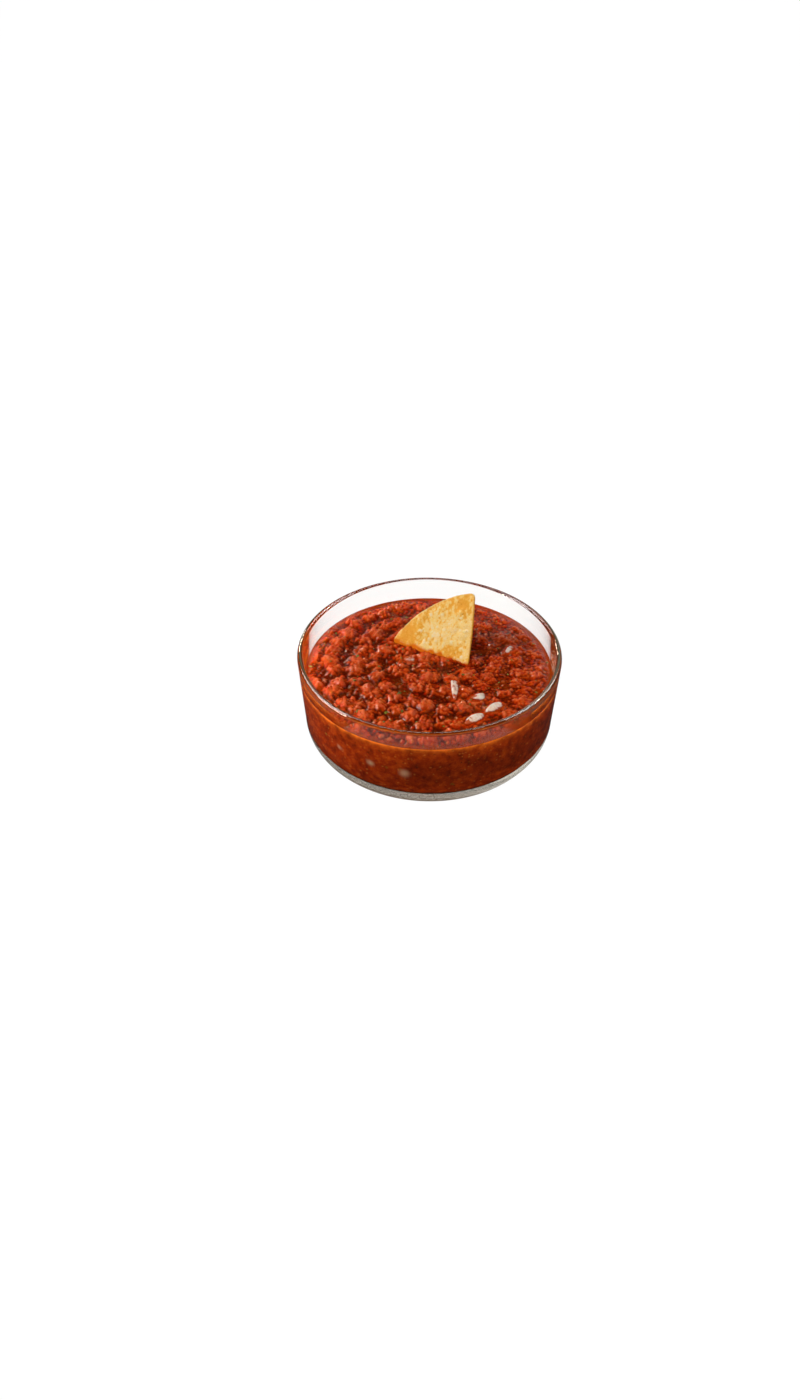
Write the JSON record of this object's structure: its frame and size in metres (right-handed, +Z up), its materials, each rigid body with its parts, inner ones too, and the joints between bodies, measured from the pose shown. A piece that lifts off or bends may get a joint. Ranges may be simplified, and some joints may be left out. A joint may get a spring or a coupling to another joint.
{
  "type": "bowl of salsa roja",
  "caption": "Round clear glass bowl filled with lumpy red tomato salsa, with a corn chip dipped into it and bits of white onion on top.",
  "frame": {"origin": "middle of the bowl's underside, on the surface that it stands on", "axes": "+Z up along the bowl's axis; -Y towards the front, the side that the chip leans away from"},
  "size_m": [0.16, 0.16, 0.0835],
  "materials": {
    "glass": "clear polished",
    "salsa": "wet and lumpy",
    "corn_chip": "fried, blistered",
    "onion": "moist"
  },
  "bodies": {
    "root": {"bowl": "glass", "salsa": "salsa", "chip": "corn_chip", "onion_1": "onion", "onion_2": "onion", "onion_3": "onion", "onion_4": "onion", "onion_5": "onion", "onion_6": "onion"}
  },
  "joints": []
}
